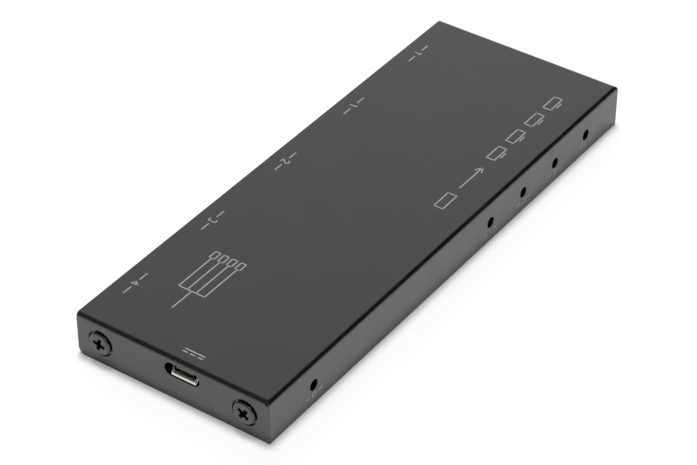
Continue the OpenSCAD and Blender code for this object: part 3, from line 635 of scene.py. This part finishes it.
def plain_cell(low, high, columns, crowd):
    """A plain stretch of a flange: steps along it, and even steps from its foot to a last short one
    below the fold."""
    rise = np.append(np.linspace(0, flange_z - FLANGE_TOP_STEP, CELL_ROWS), flange_z)
    return np.stack(np.meshgrid(spaced(low, high, columns, crowd), rise), axis=-1)


def corner_cell(low, high, columns, crowd):
    """The free end of a flange: a plain stretch whose foot rises along a quarter circle."""
    cell = plain_cell(low, high, columns, crowd)
    reach = np.clip(cell[..., 0] - (high - FREE_CORNER), 0, FREE_CORNER)
    foot = FREE_CORNER - np.sqrt(FREE_CORNER ** 2 - reach ** 2)
    cell[..., 1] = foot + cell[..., 1] * (1 - foot / flange_z)
    return cell


def holed_cell(low, high, columns, crowd, hole_z, reach, radius):
    """A stretch of a flange with a hole in its middle: rings of points from the hole's edge out to
    the stretch's border, each on the ray from the hole's middle. A reach makes the hole a slot."""
    cell = plain_cell(low, high, columns, crowd)
    border = np.vstack((cell[0, :-1], cell[:-1, -1], cell[-1, :0:-1], cell[::-1, 0]))
    middle = np.array(((low + high) / 2, hole_z))
    ray = border - middle
    ray = ray / np.linalg.norm(ray, axis=1, keepdims=True)

    def edge(r):
        """Where each ray meets a round end or a flat side of the slot, at a radius from its core."""
        run = np.abs(ray[:, 0])
        rise = np.abs(ray[:, 1])
        flat = r / np.maximum(rise, np.finfo(float).eps)
        rounded = reach * run + np.sqrt(np.maximum(r * r - (reach * rise) ** 2, 0))
        return middle + ray * np.where(flat * run <= reach, flat, rounded)[:, None]

    return np.stack((edge(radius), edge(radius + RIM_STEP), border))


def edge_places(cells):
    """Places along the fold that the cells of a flange share with it, without repeats."""
    return np.unique(np.round(np.concatenate(cells), PLACE_DECIMALS))


def mitre(turn):
    """Distance of a fold's end from the outer face, at a turn of the fold: the mitre runs at
    forty-five degrees, with a seam that opens beside the relief hole."""
    opened = (turn - math.radians(SEAM_START)) / math.radians(RELIEF_TURN - SEAM_START)
    return FOLD_RADIUS * (1 - np.sin(turn)) + SEAM * np.clip(opened, 0, 1)


def ridge(turn):
    """Radius of the rounded ridge where two folds meet, above the seam: half a sine wave, so it
    grows from nothing at the top and ends in a point where the seam opens."""
    return RIDGE_RADIUS * np.sin(np.pi * np.clip(turn / math.radians(SEAM_START), 0, 1))


def ridge_patch(side):
    """The rounded ridge at one corner: at each turn of the folds a quarter circle from one fold's end
    to the other's."""
    turn = np.radians(np.linspace(0, SEAM_START, RIDGE_STEPS + 1))[:, None]
    round_way = np.radians(np.linspace(0, 90, RIDGE_COLUMNS + 1))[None]
    inset = mitre(turn) + ridge(turn)
    x = half_l - inset + ridge(turn) * np.cos(round_way)
    y = -half_w + inset - ridge(turn) * np.sin(round_way)
    z = np.broadcast_to(top_z - FOLD_RADIUS * (1 - np.cos(turn)), x.shape)
    return np.stack((side * x, y, z), axis=-1)


def relief_notch(turn):
    """Extra distance of an end fold's end: half an ellipse about the turn of the relief hole."""
    away = (turn - math.radians(RELIEF_TURN)) * FOLD_RADIUS / RELIEF_RADIUS
    return RELIEF_DEPTH * np.sqrt(np.clip(1 - away ** 2, 0, None))


def cover_skin():
    """The outer face of the cover as grids that share their border points: the top, three folds as
    quarter cylinders, and three flanges made of plain, holed and free stretches."""
    turn = np.radians(np.linspace(0, 90, FOLD_STEPS + 1))[:, None]
    spread = FOLD_RADIUS * (1 - np.sin(turn))
    fold_z = top_z - FOLD_RADIUS * (1 - np.cos(turn))

    # Both ends, with two screw recesses each and the power slot in the near one
    half_screw = SCREW_CELL / 2
    half_slot = SLOT_CELL / 2
    stops = (-half_w + SEAM, -screw_y - half_screw, -screw_y + half_screw, slot_y - half_slot,
             slot_y + half_slot, screw_y - half_screw, screw_y + half_screw, half_w)
    spans = list(zip(stops[:-1], stops[1:], END_COLUMNS, (-1, 0, 0, 0, 0, 0, 0)))
    along = edge_places([spaced(*span) for span in spans])
    mitred = np.arange(len(along)) <= MITRE_COLUMNS
    part = (along - stops[0]) / (stops[1] - stops[0])
    start = -half_w + mitre(turn) + ridge(turn) + relief_notch(turn)
    fold_y = np.where(mitred, start + part * (stops[1] - start), along)
    grids = []
    for side in SIDES:
        grids.append(ridge_patch(side))
        fold_x = np.broadcast_to(side * (half_l - spread), fold_y.shape)
        grids.append(np.stack((fold_x, fold_y, np.broadcast_to(fold_z, fold_y.shape)), axis=-1))
        flange = [plain_cell(*spans[0]), plain_cell(*spans[2]), plain_cell(*spans[4]), corner_cell(*spans[6])]
        flange += [holed_cell(*spans[number], screw_z, 0, RECESS_RADIUS) for number in (1, 5)]
        if side < 0:
            flange.append(holed_cell(*spans[3], slot_z, SLOT_HALF_LENGTH - SLOT_RADIUS, SLOT_RADIUS))
        else:
            flange.append(plain_cell(*spans[3]))
        grids += [np.insert(cell, 0, side * half_l, axis=-1) for cell in flange]

    # Light side, with a hole in every second stretch between its mitred ends
    bends = half_l - MITRE_STRETCH
    borders = [x + side * LIGHT_CELL / 2 for x in light_places for side in SIDES]
    stretches = len(borders) + 1
    stops_x = (-half_l + SEAM, -bends, *borders, bends, half_l - SEAM)
    columns = [MITRE_COLUMNS] + [LIGHT_COLUMNS] * stretches + [MITRE_COLUMNS]
    spans = list(zip(stops_x[:-1], stops_x[1:], columns, [-1] + [0] * stretches + [1]))
    across = edge_places([spaced(*span) for span in spans])
    end = half_l - mitre(turn) - ridge(turn)
    past = np.clip(np.abs(across) - bends, 0, None)
    fold_x = np.sign(across) * (np.abs(across) - past + past * (end - bends) / (MITRE_STRETCH - SEAM))
    fold_y = np.broadcast_to(-half_w + spread, fold_x.shape)
    grids.append(np.stack((fold_x, fold_y, np.broadcast_to(fold_z, fold_x.shape)), axis=-1))
    flange = []
    for number, span in enumerate(spans):
        holed = number % 2 == 0 and 0 < number < len(spans) - 1
        flange.append(holed_cell(*span, light_z, 0, LIGHT_HOLE_RADIUS) if holed else plain_cell(*span))
    grids += [np.insert(cell, 1, -half_w, axis=-1) for cell in flange]

    # Top, on the upper borders of the folds
    start = -half_w + FOLD_RADIUS
    top_y = np.where(mitred, start + part * (stops[1] - start), along)
    x, y = np.meshgrid(fold_x[0], top_y)
    grids.append(np.stack((x, y, np.full_like(x, top_z)), axis=-1))
    return grids


def recess_floor(side_x, side_y):
    """The floor of a screw's recess: a flat ring with a countersink, its closed section carried
    round the screw's axis."""
    rim = RECESS_RADIUS + RECESS_OVERLAP
    radius = np.array((rim, SCREW_HEAD_RADIUS + COUNTERSINK_GAP, SCREW_HEAD_RADIUS - COUNTERSINK_STEP))
    radius = np.append(radius, radius[[0, 0]])[:, None]
    depth = np.array((RECESS_DEPTH, RECESS_DEPTH, SHEET, SHEET, RECESS_DEPTH))[:, None]
    turn = np.linspace(0, 2 * np.pi, RECESS_STEPS + 1)[None]
    x = np.broadcast_to(side_x * (half_l - depth), (len(radius), turn.size))
    return np.stack((x, side_y * screw_y + radius * np.cos(turn), screw_z + radius * np.sin(turn)), axis=-1)


cover = surface_object("cover", cover_skin())
sheet = cover.modifiers.new("sheet", "SOLIDIFY")
sheet.thickness = SHEET
sheet.offset = -1
sheet.use_even_offset = True
rounding = cover.modifiers.new("rounding", "BEVEL")
rounding.width = EDGE_ROUND
rounding.segments = EDGE_SEGMENTS
rounding.angle_limit = math.radians(EDGE_ANGLE)
rounding.use_clamp_overlap = False
rounding.harden_normals = True
fit(cover, coat)
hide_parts("top_cover")
floors = [recess_floor(side_x, side_y) for side_x in SIDES for side_y in SIDES]
fit(surface_object("cover_recesses", floors), coat)


# Cover screws
# Four countersunk screws of black-plated steel hold the end flanges to the tabs of the tray.
# Their heads are forged with a rounded rim, and the cross recess is punched into each head.
SCREW_PROUD = 0.00055
SCREW_DOME = 0.0001
SCREW_FACE_RADIUS = 0.0029
SCREW_RIM = 0.0007
SCREW_LENGTH = 0.0040
SCREW_THREAD_RADIUS = 0.0015
SCREW_TIP_LENGTH = 0.0002
SCREW_TIP_RADIUS = 0.0012
SCREW_EDGE = 0.00042
SCREW_EDGE_STEPS = 6
SCREW_ROUND_STEPS = 180
HEAD_RINGS = 60
CROSS_SPAN = 0.0032
CROSS_ARM = 0.00088
CROSS_DEPTH = 0.0018
CROSS_SLOPE = 0.00006
CROSS_HUB = 0.00080
CROSS_REACH = 0.00176
# How far each cross has turned, in degrees: near left, near right, far right, far left
SCREW_TURNS = (12, 38, 64, 20)


def cover_screw(side_x, y, turned):
    """A countersunk screw: a section of radius and depth carried round its axis, from the middle of
    the head over its rounded rim, down the cone and the thread to the tip. Two crossing arms and a
    hub sink into the head, each with sloping walls."""
    round_off = np.radians(np.linspace(0, 90, SCREW_EDGE_STEPS + 1))
    face = np.linspace(0, SCREW_FACE_RADIUS - SCREW_EDGE, HEAD_RINGS, endpoint=False)
    radius = np.concatenate((
        face,
        SCREW_FACE_RADIUS - SCREW_EDGE * (1 - np.sin(round_off)),
        (SCREW_HEAD_RADIUS, SCREW_THREAD_RADIUS, SCREW_THREAD_RADIUS, SCREW_TIP_RADIUS, 0)))
    cone_end = SCREW_RIM + SCREW_HEAD_RADIUS - SCREW_THREAD_RADIUS
    depth = np.concatenate((
        -SCREW_DOME * (1 - (face / SCREW_FACE_RADIUS) ** 2),
        SCREW_EDGE * (1 - np.cos(round_off)),
        (SCREW_RIM, cone_end, SCREW_LENGTH - SCREW_TIP_LENGTH, SCREW_LENGTH, SCREW_LENGTH)))
    turn = np.linspace(0, 2 * np.pi, SCREW_ROUND_STEPS + 1)
    r, t = np.meshgrid(radius, turn, indexing="ij")
    along = np.abs(r * np.cos(t - math.radians(turned)))
    aside = np.abs(r * np.sin(t - math.radians(turned)))

    def inside(limit, place):
        """One where a place lies well inside a limit, falling evenly to nought at it."""
        return np.clip((limit - place) / CROSS_SLOPE, 0, 1)

    arms = np.maximum(inside(CROSS_ARM / 2, aside) * inside(CROSS_SPAN / 2, along),
                      inside(CROSS_ARM / 2, along) * inside(CROSS_SPAN / 2, aside))
    sunk = np.maximum(arms, inside(CROSS_HUB, r)) * CROSS_DEPTH * (1 - r / CROSS_SPAN)
    deep = depth[:, None] + sunk * (np.arange(len(radius)) < HEAD_RINGS)[:, None]
    x = side_x * (half_l + SCREW_PROUD - deep)
    return np.stack((x, y + r * np.cos(t), screw_z + r * np.sin(t)), axis=-1)


screw_places = ((-1, screw_y), (-1, -screw_y), (1, -screw_y), (1, screw_y))
heads = [cover_screw(side_x, y, turned) for (side_x, y), turned in zip(screw_places, SCREW_TURNS)]
BLACKED_DARK = (0.006, 0.006, 0.006, 1)
BLACKED_LIGHT = (0.014, 0.014, 0.015, 1)
# The cross recesses take a rougher, duller finish. Its darker base colour is painted shade, standing in for
# the shade deep in each recess
RECESS_SHADE_DARK = (0.0012, 0.0012, 0.0012, 1)
RECESS_SHADE_LIGHT = (0.0030, 0.0030, 0.0030, 1)
blacked, tree, shader = new_finish("black_plated_steel", specular=1.0)
shader.inputs["IOR"].default_value = COAT_IOR
tint(tree, shader, cloud(tree, cells=1500, detail=4), BLACKED_DARK, BLACKED_LIGHT)
sheen(tree, shader, cloud(tree, cells=2500), smooth=0.20, rough=0.32)
relief(tree, shader, cloud(tree, cells=5000), depth=3e-6)
screws = surface_object("countersunk_screws", heads)
fit(screws, blacked)
recess_shade, tree, shader = new_finish("dull_recess_painted_shade", specular=0.2)
tint(tree, shader, cloud(tree, cells=2500, detail=4), RECESS_SHADE_DARK, RECESS_SHADE_LIGHT)
sheen(tree, shader, cloud(tree, cells=2500), smooth=0.60, rough=0.75)
relief(tree, shader, cloud(tree, cells=5000), depth=3e-6)
screws.data.materials.append(recess_shade)
# Faces near a screw's axis that lie below its face take the dull finish, whose darker base colour is painted
# shade in the cross recess
middles = np.empty(3 * len(screws.data.polygons))
screws.data.polygons.foreach_get("center", middles)
across, aside, upright = np.abs(middles.reshape(-1, 3) - (0, 0, screw_z)).T
near_axis = np.hypot(aside - screw_y, upright) < CROSS_REACH
sunken = (across < half_l + SCREW_PROUD - CROSS_SLOPE) & (across > half_l - CROSS_DEPTH - SCREW_RIM)
screws.data.polygons.foreach_set("material_index", (near_axis & sunken).astype(np.int32))
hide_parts("cover_screws")


# Printed marks
# Grey ink, screen printed on the finished coat: plain numbers, rules and symbols.
# Each stroke is a film of ink that stands a little proud of the coat.
INK_WIDTH = 0.00036
INK_HEIGHT = 0.00003
INK_SINK = 0.00001
ARC_POINTS = 15
INK_DARK = (0.28, 0.28, 0.285, 1)
INK_LIGHT = (0.38, 0.38, 0.385, 1)


def line(*points):
    """A stroke straight from point to point."""
    return np.array(points, dtype=float)


def arc(middle, radius, start, end):
    """A stroke along a circle between two angles in degrees."""
    angle = np.radians(np.linspace(start, end, ARC_POINTS))
    return np.stack((middle[0] + radius * np.cos(angle), middle[1] + radius * np.sin(angle)), axis=-1)


def outlined_box(left, low, right, high):
    """Four strokes round a rectangle."""
    corners = ((left, low), (right, low), (right, high), (left, high), (left, low))
    return [line(a, b) for a, b in zip(corners[:-1], corners[1:])]


# Figures one unit high about their middle
NUMERALS = {
    1: [line((-0.20, 0.30), (0.04, 0.50)), line((0.04, 0.50), (0.04, -0.50))],
    2: [arc((0, 0.23), 0.27, 165, -38), line((0.21, 0.06), (-0.28, -0.50)),
        line((-0.28, -0.50), (0.30, -0.50))],
    3: [arc((0, 0.25), 0.25, 150, -90), arc((0, -0.25), 0.25, 90, -150)],
    4: [line((0.14, -0.50), (0.14, 0.50)), line((0.14, 0.50), (-0.32, -0.22)),
        line((-0.32, -0.22), (0.34, -0.22))],
}
INPUT_ARROW = [line((0, -0.50), (0, 0.50)), line((-0.26, 0.20), (0, 0.50)), line((0, 0.50), (0.26, 0.20))]
STANDBY = [arc((0, -0.05), 0.42, 122, 418), line((0, 0.05), (0, 0.55))]
DIRECT_CURRENT = [line((-1.6, 0.26), (1.6, 0.26))]
DIRECT_CURRENT += [line((left, -0.26), (left + 0.8, -0.26)) for left in (-1.6, -0.4, 0.8)]


def between_rules(figure, gap, length):
    """A figure with a level rule on either side of it."""
    return figure + [line((side * gap, 0), (side * (gap + length), 0)) for side in SIDES]


def printed(strokes, size, middle, right, up):
    """Strokes of a given size on a flat face, as strips of ink. A stroke's place is its middle plus
    shares of the two directions on the face, and its width lies across its own run."""
    right = np.array(right, dtype=float)
    up = np.array(up, dtype=float)
    outward = np.cross(right, up)
    films = []
    for stroke in strokes:
        run = np.gradient(stroke, axis=0)
        run = run / np.linalg.norm(run, axis=1, keepdims=True)
        across = -run[:, 1:] * right + run[:, :1] * up
        path = np.array(middle) + size * (stroke[:, :1] * right + stroke[:, 1:] * up)
        films.append(strip(path - INK_SINK * outward, across, outward, INK_WIDTH, INK_HEIGHT + INK_SINK))
    return films


FALLING_NUMERALS = [NUMERALS[number] for number in (4, 3, 2, 1)]
films = []

# A number over each output and an arrow over the input, with rules in shares of a figure's height
SOCKET_MARK_Y = 0.0221
SOCKET_MARK_SIZE = 0.0020
SOCKET_RULE_GAP = 0.75
SOCKET_RULE_LENGTH = 1.4
for port, figure in zip(PORTS, (*FALLING_NUMERALS, INPUT_ARROW)):
    middle = (box_middle("socket_shell_" + port).x, SOCKET_MARK_Y, top_z)
    mark = between_rules(figure, SOCKET_RULE_GAP, SOCKET_RULE_LENGTH)
    films += printed(mark, SOCKET_MARK_SIZE, middle, (-1, 0, 0), (0, -1, 0))

# The same under each light
LIGHT_MARK_Z = 0.0028
LIGHT_MARK_SIZE = 0.0015
LIGHT_RULE_GAP = 0.8
LIGHT_RULE_LENGTH = 1.2
for light, figure in zip(LIGHTS, (*FALLING_NUMERALS, STANDBY)):
    middle = (box_middle("light_" + light).x, -half_w, LIGHT_MARK_Z)
    mark = between_rules(figure, LIGHT_RULE_GAP, LIGHT_RULE_LENGTH)
    films += printed(mark, LIGHT_MARK_SIZE, middle, (1, 0, 0), (0, 0, 1))

POWER_MARK_MIDDLE = (-0.0687, -0.00345, top_z)
POWER_MARK_SIZE = 0.0017
films += printed(DIRECT_CURRENT, POWER_MARK_SIZE, POWER_MARK_MIDDLE, (0, -1, 0), (1, 0, 0))

# One source, an arrow and four screens in a row beside the lights, in millimetres about its middle
MILLIMETRE = 0.001
ROW_MIDDLE = (0.0323, -0.0174, top_z)
SOURCE_START = -27
SOURCE_END = -21
SOURCE_HALF_HEIGHT = 1.2
ARROW_START = -18
ARROW_END = -8
ARROW_BARB_RUN = 2
ARROW_BARB_RISE = 1
SCREENS = 4
SCREEN_START = -4
SCREEN_PITCH = 8.5
SCREEN_LENGTH = 5.5
SCREEN_LOW = -0.7
SCREEN_HIGH = 1.5
SCREEN_FOOT = -1.4
SCREEN_FOOT_INSET = 1.6
row = outlined_box(SOURCE_START, -SOURCE_HALF_HEIGHT, SOURCE_END, SOURCE_HALF_HEIGHT)
row.append(line((ARROW_START, 0), (ARROW_END, 0)))
for side in SIDES:
    row.append(line((ARROW_END - ARROW_BARB_RUN, side * ARROW_BARB_RISE), (ARROW_END, 0)))
for number in range(SCREENS):
    left = SCREEN_START + number * SCREEN_PITCH
    right = left + SCREEN_LENGTH
    row += outlined_box(left, SCREEN_LOW, right, SCREEN_HIGH)
    row.append(line((left + SCREEN_FOOT_INSET, SCREEN_FOOT), (right - SCREEN_FOOT_INSET, SCREEN_FOOT)))
films += printed(row, MILLIMETRE, ROW_MIDDLE, (1, 0, 0), (0, 1, 0))

# One line that branches to four, in millimetres about its middle
BRANCH_MIDDLE = (-0.0481, 0.0101, top_z)
STEM_START = -11
FORK = -4
BRANCH_END = 8
BRANCH_HEIGHTS = (-3.6, -1.2, 1.2, 3.6)
TIP_LENGTH = 2.5
TIP_HALF_HEIGHT = 0.7
branch = [line((STEM_START, 0), (FORK, 0)), line((FORK, BRANCH_HEIGHTS[0]), (FORK, BRANCH_HEIGHTS[-1]))]
for height in BRANCH_HEIGHTS:
    branch.append(line((FORK, height), (BRANCH_END, height)))
    tip = (BRANCH_END, height - TIP_HALF_HEIGHT, BRANCH_END + TIP_LENGTH, height + TIP_HALF_HEIGHT)
    branch += outlined_box(*tip)
films += printed(branch, MILLIMETRE, BRANCH_MIDDLE, (1, 0, 0), (0, 1, 0))

ink, tree, shader = new_finish("grey_ink")
tint(tree, shader, cloud(tree, cells=3000, detail=4), INK_DARK, INK_LIGHT)
sheen(tree, shader, cloud(tree, cells=2500), smooth=0.45, rough=0.60)
relief(tree, shader, cloud(tree, cells=9000), depth=4e-6)
fit(surface_object("printed_marks", films), ink)
